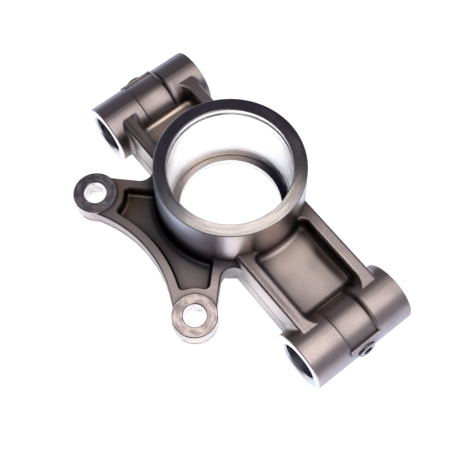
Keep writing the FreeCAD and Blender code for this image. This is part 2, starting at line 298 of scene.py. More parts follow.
@dataclass(frozen=True)
class ToolMarks:
    """The fine rings, swept streaks and smudges round a cutting tool's axis.

    Attributes:
        sweep: Radius on which a streak's length is measured. Less makes it longer.
        streaks: Streaks per metre, across their run.
        streak_band: Noise levels between which a streak shows.
        smudges: Smudges per metre.
        smudge_band: Noise levels between which a smudge shows.
    """

    sweep: float = 0.004
    streaks: float = 420.0
    streak_band: tuple = (0.35, 0.65)
    smudges: float = 150.0
    smudge_band: tuple = (0.46, 0.62)

    def build(self) -> bpy.types.NodeTree:
        """Build the node group.

        Returns:
            A group whose inputs place a point beside and along the tool's axis.
        """
        graph, given, made = new_group(
            "tool_marks",
            dict.fromkeys(("Across", "Along", "Depth", "Lines per metre", "Rise"), 0.0),
            ("Height", "Streaks", "Smudges"),
        )
        across, along, depth, pitch, rise = given.outputs[:5]
        flat = graph.add("ShaderNodeCombineXYZ", {0: across, 1: along})
        radius = graph.vector("LENGTH", flat.outputs[0])
        cut = graph.math("ADD", radius, graph.math("MULTIPLY", depth, rise))
        steps = graph.add("ShaderNodeCombineXYZ", {0: cut})
        graph.feed(made.inputs["Height"], graph.noise(steps.outputs[0], pitch, 2.0))
        turn = graph.math("MULTIPLY", graph.math("ARCTAN2", along, across), self.sweep)
        swept = graph.add("ShaderNodeCombineXYZ", {0: cut, 1: turn})
        streaks = graph.noise(swept.outputs[0], self.streaks, 3.0)
        graph.feed(made.inputs["Streaks"], graph.spread(streaks, self.streak_band))
        local = graph.add("ShaderNodeCombineXYZ", {0: across, 1: along, 2: depth})
        smudges = graph.noise(local.outputs[0], self.smudges, 5.0, 0.65)
        graph.feed(made.inputs["Smudges"], graph.spread(smudges, self.smudge_band))
        return graph.tree


@dataclass(frozen=True)
class Corners:
    """The corners darkened with painted shade and the edges lightened with a painted highlight.

    Attributes:
        corner_reach: Distance over which other faces close a corner.
        edge_reach: Distance from an edge that the painted highlight covers.
        edge_band: Occlusion inside the metal between which an edge shows.
    """

    corner_reach: float = 0.014
    edge_reach: float = 0.0011
    edge_band: tuple = (0.95, 0.55)

    def build(self) -> bpy.types.NodeTree:
        """Build the node group.

        Returns:
            A group that takes both distances and gives two masks.
        """
        graph, given, made = new_group(
            "corners_and_edges",
            {"Corner reach": self.corner_reach, "Edge reach": self.edge_reach},
            ("Open", "Edge"),
        )
        # Occlusion from outside finds corners for the painted shade, occlusion inside the metal
        # finds edges for the painted highlight.
        kind = "ShaderNodeAmbientOcclusion"
        corner = graph.add(kind, {"Distance": given.outputs[0]}, samples=12, only_local=True)
        edge = graph.add(
            kind, {"Distance": given.outputs[1]}, samples=8, only_local=True, inside=True
        )
        graph.feed(made.inputs["Open"], corner.outputs["AO"])
        graph.feed(made.inputs["Edge"], graph.spread(edge.outputs["AO"], self.edge_band))
        return graph.tree


# Finishes.


@dataclass(frozen=True)
class ColourPatch:
    """A soft-edged patch of another colour on the cast skin, used for painted shade and painted
    light.

    Attributes:
        middle: Position of its middle.
        reach: Half its size along each axis.
        colour: Colour at its heart.
        strength: Share of that colour at its heart.
        heart: Share of the reach that the heart takes.
    """

    middle: tuple
    reach: tuple
    colour: tuple
    strength: float
    heart: float = 0.35

    def lay(self, graph: Graph, place: Socket, skin: Value) -> Socket:
        """Return the skin's colour with the patch laid over it.

        Args:
            graph: The material's graph.
            place: Object coordinates.
            skin: The colour so far.

        Returns:
            The patched colour.
        """
        offset = graph.vector("SUBTRACT", place, self.middle)
        length = graph.vector("LENGTH", graph.vector("DIVIDE", offset, self.reach))
        share = graph.spread(length, (self.heart, 1.0), (self.strength, 0.0))
        return graph.blend(share, skin, self.colour)


# Colours of the painted shade on the ribs and along the barrels' windows.
RIB_SHADE = (0.045, 0.030, 0.026, 1.0)
EDGE_SHADE = (0.040, 0.033, 0.037, 1.0)
WINDOW_SHADE = (0.035, 0.027, 0.029, 1.0)


@dataclass(frozen=True)
class CastSkin:
    """Bead-blasted aluminium as it leaves the mould, with painted shade and painted light laid on
    its colour.

    Attributes:
        base: Colour of the metal face on.
        deep: Colour of its darker patches.
        edge_highlight: Colour of the painted highlight on convex edges.
        edge_highlight_share: Share of that colour on an edge.
        corner_shade: Colour of the painted shade in closed corners.
        corner_shade_power: How fast the painted shade deepens as corners close.
        dark_patches: Darker patches, most of them painted shade, laid under the corner shade.
        light_patches: Patches of painted light, laid over the corner shade.
        ring_reach: Radius that holds the ring's outer wall.
        ring_fade: Distance past that radius over which the ring's tints fade.
        ring_side: Places along Y between which they fade, away from the bracket.
        cool_light: Tint of a painted cool light on the ring's wall.
        cool_light_share: Share of that tint.
        foot_shade: Colour of the painted shade at the bottom of the ring's wall.
        foot_shade_share: Share of that colour.
        ring_foot: Heights between which that painted shade fades out.
        grazing: Tint of the metal where it is seen at a low angle.
        roughness: Mean roughness.
        roughness_swing: How far the tone moves the roughness either way.
        grain_height: Depth of the blasted grain.
        grain_strength: Strength of the grain's bump.
    """

    base: tuple = (0.640, 0.530, 0.480, 1.0)
    deep: tuple = (0.480, 0.400, 0.385, 1.0)
    edge_highlight: tuple = (0.800, 0.720, 0.690, 1.0)
    edge_highlight_share: float = 0.30
    corner_shade: tuple = (0.020, 0.014, 0.013, 1.0)
    corner_shade_power: float = 2.6
    dark_patches: tuple = (
        # Painted shade over the bracket's dish, and a warm patch at its short side.
        ColourPatch((-0.016, -0.046, 0.014), (0.050, 0.022, 0.020), (0.32, 0.27, 0.28, 1.0), 0.55),
        ColourPatch((-0.032, -0.041, 0.012), (0.016, 0.012, 0.009), (0.46, 0.29, 0.18, 1.0), 0.75),
        # Painted shade on the ring's wall over the long arm.
        ColourPatch((0.0385, 0.0, 0.028), (0.012, 0.022, 0.024), (0.30, 0.21, 0.175, 1.0), 0.70),
        # Painted shade on the pocket's side of the back ribs.
        ColourPatch((0.053, 0.0134, 0.017), (0.030, 0.0045, 0.012), RIB_SHADE, 0.95),
        ColourPatch((-0.052, 0.0134, 0.017), (0.016, 0.0045, 0.012), RIB_SHADE, 0.90),
        # Painted shade along the outer edge of the front ribs.
        ColourPatch((0.054, -0.0181, 0.0203), (0.040, 0.0020, 0.0042), EDGE_SHADE, 0.92),
        ColourPatch((-0.052, -0.0181, 0.0203), (0.022, 0.0020, 0.0042), EDGE_SHADE, 0.85),
        # Painted shade along the back edge of each barrel's window.
        ColourPatch((LONG_X, 0.0094, 0.0200), (0.0130, 0.0014, 0.0100), WINDOW_SHADE, 0.92),
        ColourPatch((SHORT_X, 0.0094, 0.0200), (0.0130, 0.0014, 0.0100), WINDOW_SHADE, 0.92),
    )
    light_patches: tuple = (
        # Painted light on the floors of the short and the long arm's pockets.
        ColourPatch((-0.048, 0.001, 0.015), (0.010, 0.020, 0.006), (0.95, 0.76, 0.60, 1.0), 0.95),
        ColourPatch((0.043, 0.001, 0.0155), (0.012, 0.014, 0.004), (0.70, 0.57, 0.50, 1.0), 0.80),
    )
    ring_reach: float = 0.0385
    ring_fade: float = 0.003
    ring_side: tuple = (-0.036, -0.016)
    cool_light: tuple = (0.74, 0.76, 0.93, 1.0)
    cool_light_share: float = 0.85
    foot_shade: tuple = (0.018, 0.015, 0.018, 1.0)
    foot_shade_share: float = 0.9
    ring_foot: tuple = (0.0168, 0.028)
    grazing: tuple = (0.86, 0.94, 1.00, 1.0)
    roughness: float = 0.36
    roughness_swing: float = 0.03
    grain_height: float = 0.028 * MM
    grain_strength: float = 0.6

    def build(
        self, grain: bpy.types.NodeTree, corners: bpy.types.NodeTree
    ) -> bpy.types.Material:
        """Build the material.

        Args:
            grain: The blast_grain group.
            corners: The corners_and_edges group.

        Returns:
            The finished material.
        """
        material, graph, surface = start_material("cast_skin")
        surface.inputs["Metallic"].default_value = 1.0
        surface.inputs["Specular Tint"].default_value = self.grazing
        detail = graph.add("ShaderNodeGroup", node_tree=grain)
        tone = detail.outputs["Tone"]
        form = graph.add("ShaderNodeGroup", node_tree=corners)
        skin = graph.blend(tone, self.deep, self.base)
        # Painted highlight: convex edges are lightened towards the highlight colour.
        edge = graph.math("MULTIPLY", form.outputs["Edge"], self.edge_highlight_share)
        skin = graph.blend(edge, skin, self.edge_highlight)
        place = graph.add("ShaderNodeTexCoord").outputs["Object"]
        # Painted shade: darker patches on the dish, the ring's wall, the ribs and the windows.
        for dark_patch in self.dark_patches:
            skin = dark_patch.lay(graph, place, skin)
        # Painted light and shade on the ring's wall: a cool tint, and a dark band at its bottom.
        skin = self.paint_ring_light_and_shade(graph, place, skin)
        # Painted shade: closed corners darken with their ambient occlusion.
        unshaded = graph.math("POWER", form.outputs["Open"], self.corner_shade_power)
        skin = graph.blend(unshaded, self.corner_shade, skin)
        # Painted light: the pockets' floors are lightened over the painted corner shade.
        for patch in self.light_patches:
            skin = patch.lay(graph, place, skin)
        graph.feed(surface.inputs["Base Color"], skin)
        ends = (self.roughness + self.roughness_swing, self.roughness - self.roughness_swing)
        graph.feed(surface.inputs["Roughness"], graph.spread(tone, (0.0, 1.0), ends))
        normal = graph.bump(detail.outputs["Height"], self.grain_height, self.grain_strength)
        graph.feed(surface.inputs["Normal"], normal)
        return material

    def paint_ring_light_and_shade(self, graph: Graph, place: Socket, skin: Value) -> Socket:
        """Return the colour with painted cool light on the ring's wall and painted shade at its
        bottom.

        Args:
            graph: The material's graph.
            place: Object coordinates.
            skin: The colour so far.

        Returns:
            The tinted colour.
        """
        split = graph.add("ShaderNodeSeparateXYZ", {0: place})
        plan = graph.add("ShaderNodeCombineXYZ", {0: split.outputs[0], 1: split.outputs[1]})
        band = (self.ring_reach, self.ring_reach + self.ring_fade)
        wall = graph.spread(graph.vector("LENGTH", plan.outputs[0]), band, (1.0, 0.0))
        side = graph.spread(split.outputs[1], self.ring_side, (1.0, 0.0))
        facing = graph.math("MULTIPLY", wall, side)
        cool_lit = graph.blend(graph.math("MULTIPLY", facing, self.cool_light_share), skin, self.cool_light)
        # Painted shade towards the bottom of the ring's wall.
        low = graph.spread(split.outputs[2], self.ring_foot, (self.foot_shade_share, 0.0))
        return graph.blend(graph.math("MULTIPLY", facing, low), cool_lit, self.foot_shade)


@dataclass(frozen=True)
class CutMetal:
    """Bright metal with the marks of a turning or facing tool.

    Attributes:
        name: The material's name.
        base: Colour of the metal.
        other: Colour of painted light and shade that the metal turns to along a direction, or None.
        toward: That direction.
        turn_over: Distances along it between which the colour turns.
        roughness: Mean roughness.
        roughness_ends: Shares of it where the streaks are dark and where bright.
        way: The way of the tool's axis.
        middle: Middle along X between the two axes of a pair.
        spread: Distance along X from that middle to each axis, 0 for one axis.
        beside: Place of the axis along the remaining direction.
        pitch: Tool lines per metre.
        rise: How much of the tool's feed runs along its axis.
        line_height: Depth of the lines.
        line_strength: Strength of their bump.
        streak_share: How much darker the streaks are.
        smudge: Colour of the smudges.
        smudge_share: Share of that colour in a smudge.
    """

    name: str
    base: tuple
    other: tuple | None = None
    toward: tuple = (1.0, 0.0, 0.0)
    turn_over: tuple = (-0.010, 0.020)
    roughness: float = 0.2
    roughness_ends: tuple = (1.25, 0.8)
    way: ToolAxis = ToolAxis.UPRIGHT
    middle: float = 0.0
    spread: float = 0.0
    beside: float = 0.0
    pitch: float = 2600.0
    rise: float = 0.0
    line_height: float = 0.004 * MM
    line_strength: float = 0.5
    streak_share: float = 0.14
    smudge: tuple = (0.42, 0.33, 0.28, 1.0)
    smudge_share: float = 0.0

    def build(self, marks: bpy.types.NodeTree) -> bpy.types.Material:
        """Build the material.

        Args:
            marks: The tool_marks group.

        Returns:
            The finished material.
        """
        material, graph, surface = start_material(self.name)
        surface.inputs["Metallic"].default_value = 1.0
        place = graph.add("ShaderNodeTexCoord").outputs["Object"]
        detail = self.mark(graph, place, marks)
        streaks = detail.outputs["Streaks"]
        # Painted light and shade: the colour turns towards the other colour along one direction.
        turned = graph.spread(graph.vector("DOT_PRODUCT", place, self.toward), self.turn_over)
        metal = graph.blend(turned, self.base, self.other or self.base)
        smudged = graph.math("MULTIPLY", detail.outputs["Smudges"], self.smudge_share)
        metal = graph.blend(smudged, metal, self.smudge)
        dark = graph.blend(self.streak_share, metal, BLACK)
        graph.feed(surface.inputs["Base Color"], graph.blend(streaks, dark, metal))
        ends = [share * self.roughness for share in self.roughness_ends]
        graph.feed(surface.inputs["Roughness"], graph.spread(streaks, (0.0, 1.0), ends))
        normal = graph.bump(detail.outputs["Height"], self.line_height, self.line_strength)
        graph.feed(surface.inputs["Normal"], normal)
        return material

    def mark(self, graph: Graph, place: Socket, marks: bpy.types.NodeTree) -> bpy.types.Node:
        """Lay the tool's marks round its axis.

        Args:
            graph: The material's graph.
            place: Object coordinates.
            marks: The tool_marks group.

        Returns:
            The group's node.
        """
        detail = graph.add("ShaderNodeGroup", node_tree=marks)
        split = graph.add("ShaderNodeSeparateXYZ", {0: place}).outputs
        folded = graph.math("ABSOLUTE", graph.math("SUBTRACT", split[0], self.middle))
        beside, depth = (split[axis] for axis in self.way.value)
        graph.feed(detail.inputs["Across"], graph.math("SUBTRACT", folded, self.spread))
        graph.feed(detail.inputs["Along"], graph.math("SUBTRACT", beside, self.beside))
        graph.feed(detail.inputs["Depth"], depth)
        graph.feed(detail.inputs["Lines per metre"], self.pitch)
        graph.feed(detail.inputs["Rise"], self.rise)
        return detail


def build_finishes() -> dict[Finish, bpy.types.Material]:
    """Build the shared effects and a material for each finish.

    Returns:
        The materials by finish.
    """
    marks = ToolMarks().build()
    bolts = mount("caliper_bolts")
    pair = {"spread": bolts["dims"]["spacing_x_mm"] * MM / 2, "beside": bolts["pos_m"][1]}
    cut = {
        # Painted shade: the bore's wall darkens towards its bottom.
        Finish.TURNED_BORE: CutMetal(
            "turned_bore",
            base=(0.78, 0.77, 0.77, 1.0),
            other=(0.83, 0.82, 0.82, 1.0),
            toward=(0.0, 0.0, 1.0),
            turn_over=(0.001, 0.011),
            roughness=0.30,
            rise=1.0,
            streak_share=0.10,
        ),
        # Painted reflection: the shoulder is golden on its -X side and nearly black on its +X side.
        Finish.SEAT_FLOOR: CutMetal(
            "seat_floor",
            base=(0.64, 0.54, 0.47, 1.0),
            other=(0.06, 0.055, 0.08, 1.0),
            turn_over=(-0.031, -0.004),
        ),
        # Painted light and shade: the rim is bluish on its shaded -X side and warm on its lit +X
        # side.
        Finish.FACED_RIM: CutMetal(
            "faced_rim",
            base=(0.60, 0.585, 0.65, 1.0),
            other=(0.68, 0.62, 0.585, 1.0),
            roughness=0.14,
            streak_share=0.25,
            smudge_share=0.15,
        ),
        # Painted light and shade: the face of the ear at -X is lighter than that at +X.
        Finish.EAR_FACE: CutMetal(
            "ear_face",
            base=(0.92, 0.83, 0.87, 1.0),
            other=(0.68, 0.57, 0.54, 1.0),
            roughness=0.27,
            line_height=0.008 * MM,
            streak_share=0.3,
            smudge_share=0.45,
            **pair,
        ),
        Finish.END_FACE: CutMetal(
            "end_face",
            base=(0.72, 0.71, 0.71, 1.0),
            roughness=0.22,
            way=ToolAxis.CROSSWISE,
            middle=(LONG_X + SHORT_X) / 2,
            spread=(LONG_X - SHORT_X) / 2,
            beside=BARREL_Z,
        ),
        Finish.BOLT_HOLE: CutMetal(
            "bolt_hole",
            base=(0.68, 0.66, 0.66, 1.0),
            pitch=1300.0,
            rise=1.0,
            line_height=0.06 * MM,
            streak_share=0.35,
            **pair,
        ),
        Finish.BORED_HOLE: CutMetal("bored_hole", base=(0.52, 0.50, 0.55, 1.0), roughness=0.3),
    }
    materials = {finish: metal.build(marks) for finish, metal in cut.items()}
    materials[Finish.CAST_SKIN] = CastSkin().build(BlastGrain().build(), Corners().build())
    return materials


# Sub-assemblies. Each reads its place from the frame and claims its own faces.


def gather(items: bpy.types.bpy_prop_collection, name: str, kind: type) -> np.ndarray:
    """Read a property of three numbers from every item of a mesh.

    Args:
        items: The mesh's vertices, faces or corner normals.
        name: The property's name.
        kind: The numbers' type.

    Returns:
        One row for each item.
    """
    flat = np.empty(len(items) * 3, kind)
    items.foreach_get(name, flat)
    return flat.reshape(-1, 3)


@dataclass
class Facets:
    """Centres and normals of a mesh's faces, as arrays.

    Attributes:
        centre: Face centres.
        normal: Face normals.
        low: Each face's lowest corner along each axis.
        high: Each face's highest corner along each axis.
    """

    centre: np.ndarray
    normal: np.ndarray
    low: np.ndarray
    high: np.ndarray

    @classmethod
    def of(cls, mesh: bpy.types.Mesh) -> "Facets":
        """Read the facets of a triangle mesh.

        Args:
            mesh: The mesh.

        Returns:
            Its facets.
        """
        corners = gather(mesh.vertices, "co", np.float32)
        faces = corners[gather(mesh.polygons, "vertices", np.int32)]
        normal = gather(mesh.polygons, "normal", np.float32)
        return cls(faces.mean(axis=1), normal, faces.min(axis=1), faces.max(axis=1))

    def at(self, axis: int, level: float) -> np.ndarray:
        """Return which faces lie wholly at a level along an axis."""
        low, high = level - FACE_SLACK, level + FACE_SLACK
        return (self.low[:, axis] > low) & (self.high[:, axis] < high)


@dataclass
class BearingRing:
    """The turned ring: rim, seat, groove, shoulder and lip hole.

    Attributes:
        rim_level: Height of the faced rim.
        seat_radius: Radius of the bearing seat.
        groove_reach: How far past the seat the turned faces go.
    """

    rim_level: float = field(default_factory=lambda: mount("ring_rim")["pos_m"][2])
    seat_radius: float = field(default_factory=lambda: mount("bearing_bore")["dims"]["r_mm"] * MM)
    groove_reach: float = 2.2 * MM

    def claim(self, facets: Facets) -> dict[Finish, np.ndarray]:
        """Find the ring's machined faces.

        Args:
            facets: The casting's facets.

        Returns:
            Which faces take each finish.
        """
        reach = np.hypot(facets.centre[:, 0], facets.centre[:, 1])
        upward = facets.normal[:, 2]
        level = upward > LEVEL_NORMAL
        rim = level & facets.at(2, self.rim_level)
        underside = (upward < -LEVEL_NORMAL) & (facets.centre[:, 2] < 0.0)
        hollow = (reach < self.seat_radius + self.groove_reach) & ~rim & ~underside
        seat = hollow & level & facets.at(2, 0.0)
        return {Finish.TURNED_BORE: hollow, Finish.SEAT_FLOOR: seat, Finish.FACED_RIM: rim}


@dataclass
class PivotBarrel:
    """A cross-bored barrel with faced ends and a drilled grease boss.

    Attributes:
        bore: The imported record's mount for the pivot bore.
        ends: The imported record's mounts on the two end faces.
        end_reach: Radius that holds an end face, in radii of the bore.
        chamfer: Width of the bore's chamfers.
        grease_radius: Radius of the grease hole.
        grease_tilt: Slope of the grease hole above level, in degrees.
    """

    bore: dict
    ends: tuple
    end_reach: float = 2.0
    chamfer: float = 0.85 * MM
    grease_radius: float = 2.4 * MM
    grease_tilt: float = 9.0

    @classmethod
    def named(cls, side: str) -> "PivotBarrel":
        """Return the barrel of the long or the short arm."""
        ends = (mount(f"{side}_barrel_front_face"), mount(f"{side}_barrel_back_face"))
        return cls(mount(f"{side}_pivot_bore"), ends)

    def claim(self, facets: Facets) -> dict[Finish, np.ndarray]:
        """Find the barrel's machined faces.

        Args:
            facets: The casting's facets.

        Returns:
            Which faces take each finish.
        """
        axis = np.array(self.bore["pos_m"])
        radius = self.bore["dims"]["r_mm"] * MM
        offset = facets.centre - axis
        off_axis = np.hypot(offset[:, 0], offset[:, 2])
        bored = off_axis < radius + self.chamfer
        faced = np.zeros(len(bored), bool)
        for face in self.ends:
            faced |= facets.at(1, face["pos_m"][1])
        faced &= off_axis < self.end_reach * radius
        tilt = math.radians(self.grease_tilt)
        way = np.array((math.copysign(math.cos(tilt), axis[0]), 0.0, math.sin(tilt)))
        along = offset @ way
        aside = np.linalg.norm(offset - along[:, None] * way, axis=1)
        drilled = (aside < self.grease_radius + FACE_SLACK) & (along > radius)
        return {Finish.BORED_HOLE: (bored & ~faced) | drilled, Finish.END_FACE: faced}


@dataclass
class CaliperBracket:
    """The bracket's faced ears and their bolt holes.

    Attributes:
        bolts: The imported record's mount for the bolt holes.
        edge: Width of the broken edge round a hole.
    """

    bolts: dict = field(default_factory=lambda: mount("caliper_bolts"))
    edge: float = 0.5 * MM

    def claim(self, facets: Facets) -> dict[Finish, np.ndarray]:
        """Find the bracket's machined faces.

        Args:
            facets: The casting's facets.

        Returns:
            Which faces take each finish.
        """
        _, row, level = self.bolts["pos_m"]
        faced = facets.at(2, level)
        half = self.bolts["dims"]["spacing_x_mm"] * MM / 2
        across = np.abs(facets.centre[:, 0]) - half
        reach = np.hypot(across, facets.centre[:, 1] - row)
        drilled = reach < self.bolts["dims"]["hole_r_mm"] * MM + self.edge
        return {Finish.EAR_FACE: faced, Finish.BOLT_HOLE: drilled & ~faced}


@dataclass
class Casting:
    """The visible casting: a merged copy of the frame's node, face by face dressed.

    Attributes:
        parts: The sub-assemblies that claim machined faces.
        weld: Distance under which corners are one.
    """

    parts: list
    weld: float = 0.001 * MM

    def copy_of_node(self) -> bpy.types.Object:
        """Copy the node's mesh and merge its corners, with the node's own shading.

        Returns:
            The copy's object.
        """
        source = frame["nodes"][NODE].data
        mesh = source.copy()
        mesh.name = "carrier_casting"
        shading = gather(source.corner_normals, "vector", np.float32)
        if mesh.has_custom_normals:
            mesh.attributes.remove(mesh.attributes["custom_normal"])
        work = bmesh.new()
        work.from_mesh(mesh)
        bmesh.ops.remove_doubles(work, verts=work.verts, dist=self.weld)
        work.to_mesh(mesh)
        work.free()
        if len(mesh.loops) == len(shading):
            mesh.normals_split_custom_set(shading.tolist())
        else:
            LOG.warning("merged copy lost %d corners", len(shading) - len(mesh.loops))
            mesh.shade_smooth()
        return link(bpy.data.objects.new("carrier_casting", mesh))

    def dress(
        self, piece: bpy.types.Object, materials: dict[Finish, bpy.types.Material]
    ) -> None:
        """Give every face its finish.

        Args:
            piece: The casting's object.
            materials: One material for each finish.
        """
        mesh = piece.data
        mesh.materials.clear()
        for finish in Finish:
            mesh.materials.append(materials[finish])
        slots = np.zeros(len(mesh.polygons), np.int32)
        facets = Facets.of(mesh)
        for part in self.parts:
            owner = type(part).__name__
            for finish, faces in part.claim(facets).items():
                slots[faces] = finish.value
                LOG.info("%s: %s on %d faces", owner, finish.name.lower(), faces.sum())
        mesh.polygons.foreach_set("material_index", slots)
        mesh.update()

    def make(self, materials: dict[Finish, bpy.types.Material]) -> bpy.types.Object:
        """Build the casting and hand it to the frame.

        Args:
            materials: One material for each finish.

        Returns:
            The casting's object.
        """
        piece = self.copy_of_node()
        self.dress(piece, materials)
        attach(piece, BODY)
        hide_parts(NODE)
        return piece


@dataclass
class PartingFlash:
    """The thin trimmed flash where the mould's halves met.

    Attributes:
        level: Height of the mould's parting plane.
        far: Places along X that the flash stays between, where the barrels begin.
        inset: Distance that the flash keeps from the casting's front extreme.
        steep: Largest upward share of the normal of a wall that carries flash.
        cut_slack: Distance from the plane at which a corner counts as cut.
        half_width: Half the flash's width.
        sides: Corners of its cross-section.
        uneven: Share by which the width varies along its run.
        noise_gain: Factor that brings the noise's usual swing to about one.
        wave: Variations per metre.
        seed: Seed of those variations.
    """

    level: float = BARREL_Z
    far: tuple = (-0.0575, 0.0735)
    inset: float = 0.4 * MM
    steep: float = 0.6
    cut_slack: float = 0.0001 * MM
    half_width: float = 0.17 * MM
    sides: int = 8
    uneven: float = 0.45
    noise_gain: float = 4.0
    wave: float = 240.0
    seed: float = 3.0

    def keeps(self, edge: bmesh.types.BMEdge) -> bool:
        """Tell whether a cut edge lies on a steep cast wall outside the barrels.

        Args:
            edge: An edge of the cut mesh.

        Returns:
            Whether the edge carries flash.
        """
        cast = all(face.material_index == Finish.CAST_SKIN.value for face in edge.link_faces)
        steep = all(abs(face.normal.z) <= self.steep for face in edge.link_faces)
        front = CAD_BOX[0][1] + self.inset
        low, high = self.far
        inside = all(low < corner.co.x < high and corner.co.y >= front for corner in edge.verts)
        return cast and steep and inside

    def seam(self, casting: bpy.types.Object) -> bpy.types.Object:
        """Find the line where the parting plane cuts the casting's walls.

        Args:
            casting: The dressed casting.

        Returns:
            An object of loose edges.
        """
        work = bmesh.new()
        work.from_mesh(casting.data)
        cut = bmesh.ops.bisect_plane(
            work,
            geom=work.verts[:] + work.edges[:] + work.faces[:],
            dist=self.cut_slack,
            plane_co=(0.0, 0.0, self.level),
            plane_no=(0.0, 0.0, 1.0),
        )["geom_cut"]
        edges = [item for item in cut if isinstance(item, bmesh.types.BMEdge) and self.keeps(item)]
        corners = list(dict.fromkeys(corner for edge in edges for corner in edge.verts))
        index = {corner: number for number, corner in enumerate(corners)}
        pairs = [[index[corner] for corner in edge.verts] for edge in edges]
        mesh = bpy.data.meshes.new("parting_seam")
        mesh.from_pydata([corner.co[:] for corner in corners], pairs, [])
        work.free()
        return link(bpy.data.objects.new("parting_seam", mesh))

    def sweep_tree(self, material: bpy.types.Material) -> bpy.types.NodeTree:
        """Build the geometry node tree that sweeps a thin bead along loose edges.

        Args:
            material: The bead's material.

        Returns:
            The tree, with the flash's sizes as its inputs.
        """
        tree = bpy.data.node_groups.new("sweep_flash", "GeometryNodeTree")
        face = tree.interface
        face.new_socket("Geometry", in_out="INPUT", socket_type=GEOMETRY)
        for label in ("Half width", "Uneven", "Waves per metre", "Seed"):
            face.new_socket(label, in_out="INPUT", socket_type=NUMBER)
        face.new_socket("Sides", in_out="INPUT", socket_type="NodeSocketInt")
        face.new_socket("Geometry", in_out="OUTPUT", socket_type=GEOMETRY)
        graph = Graph(tree)
        given = graph.add("NodeGroupInput").outputs
        path = graph.add("GeometryNodeMeshToCurve", {"Mesh": given["Geometry"]})
        place = graph.add("GeometryNodeInputPosition").outputs[0]
        noise = graph.add(
            "ShaderNodeTexNoise",
            {"Vector": place, "Scale": given["Waves per metre"], "W": given["Seed"]},
            noise_dimensions="4D",
        )
        swing = graph.math("SUBTRACT", noise.outputs[0], NOISE_MIDDLE)
        swing = graph.math("MULTIPLY", swing, given["Uneven"])
        swing = graph.math("MULTIPLY", swing, self.noise_gain)
        width = graph.math("MULTIPLY", graph.math("ADD", swing, 1.0), given["Half width"])
        sized = graph.add("GeometryNodeSetCurveRadius", {"Curve": path.outputs[0], "Radius": width})
        ring = graph.add(
            "GeometryNodeCurvePrimitiveCircle", {"Resolution": given["Sides"], "Radius": 1.0}
        )
        bead = graph.add(
            "GeometryNodeCurveToMesh",
            {
                "Curve": sized.outputs[0],
                "Profile Curve": ring.outputs[0],
                "Scale": graph.add("GeometryNodeInputRadius").outputs[0],
                "Fill Caps": True,
            },
        )
        smooth = graph.add("GeometryNodeSetShadeSmooth", {"Geometry": bead.outputs[0]})
        real = graph.add("GeometryNodeRealizeInstances", {"Geometry": smooth.outputs[0]})
        dressed = graph.add(
            "GeometryNodeSetMaterial", {"Geometry": real.outputs[0], "Material": material}
        )
        graph.add("NodeGroupOutput", {"Geometry": dressed.outputs[0]})
        return tree

    def make(self, casting: bpy.types.Object, material: bpy.types.Material) -> bpy.types.Object:
        """Build the flash and hand it to the frame.

        Args:
            casting: The dressed casting.
            material: The cast skin.

        Returns:
            The flash's object.
        """
        seam = self.seam(casting)
        sweep = seam.modifiers.new("sweep", "NODES")
        sweep.node_group = self.sweep_tree(material)
        values = {
            "Half width": self.half_width,
            "Uneven": self.uneven,
            "Waves per metre": self.wave,
            "Seed": self.seed,
            "Sides": self.sides,
        }
        for item in sweep.node_group.interface.items_tree:
            if item.in_out == "INPUT" and item.name in values:
                sweep[item.identifier] = values[item.name]
        bpy.context.view_layer.update()
        swept = seam.evaluated_get(bpy.context.evaluated_depsgraph_get())
        mesh = bpy.data.meshes.new_from_object(swept)
        mesh.name = "parting_flash"
        bpy.data.objects.remove(seam)
        piece = link(bpy.data.objects.new("parting_flash", mesh))
        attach(piece, BODY)
        return piece


def link(item: bpy.types.Object) -> bpy.types.Object:
    """Put an object in the scene and return it."""
    bpy.context.scene.collection.objects.link(item)
    return item


# Studio.


@dataclass
class Camera:
    """The photograph's viewpoint.

    Attributes:
        place: Position.
        azimuth: Compass direction of the view, in degrees from +Y towards +X.
        elevation: Angle of the view below level, in degrees.
        roll: Turn about the view's axis, in degrees.
        focal_px: Focal length in pixels of the photograph.
        sensor: Sensor width in millimetres.
        clip: Nearest and farthest distance that it sees.
    """

    place: tuple = (0.144906, -0.112377, 0.394316)
    azimuth: float = -53.0
    elevation: float = 66.38
    roll: float = -1.343
    focal_px: float = 874.886
    sensor: float = 36.0
    clip: tuple = (0.01, 50.0)

    def make(self) -> bpy.types.Object:
        """Build the camera and make it the scene's own.

        Returns:
            The camera's object.
        """
        around = math.radians(self.azimuth)
        down = math.radians(self.elevation)
        north, east = math.cos(around), math.sin(around)
        forward = Vector((east * math.cos(down), north * math.cos(down), -math.sin(down)))
        level = Vector((north, -east, 0.0))
        upward = level.cross(forward)
        turn = math.radians(self.roll)
        right = math.cos(turn) * level + math.sin(turn) * upward
        up = math.cos(turn) * upward - math.sin(turn) * level
        lens = bpy.data.cameras.new("camera")
        lens.sensor_width = self.sensor
        lens.lens = self.focal_px * self.sensor / IMAGE_SIDE_PX
        lens.clip_start, lens.clip_end = self.clip
        camera = link(bpy.data.objects.new("camera", lens))
        facing = Matrix((right, up, -forward)).transposed().to_4x4()
        camera.matrix_world = Matrix.Translation(self.place) @ facing
        bpy.context.scene.camera = camera
        return camera


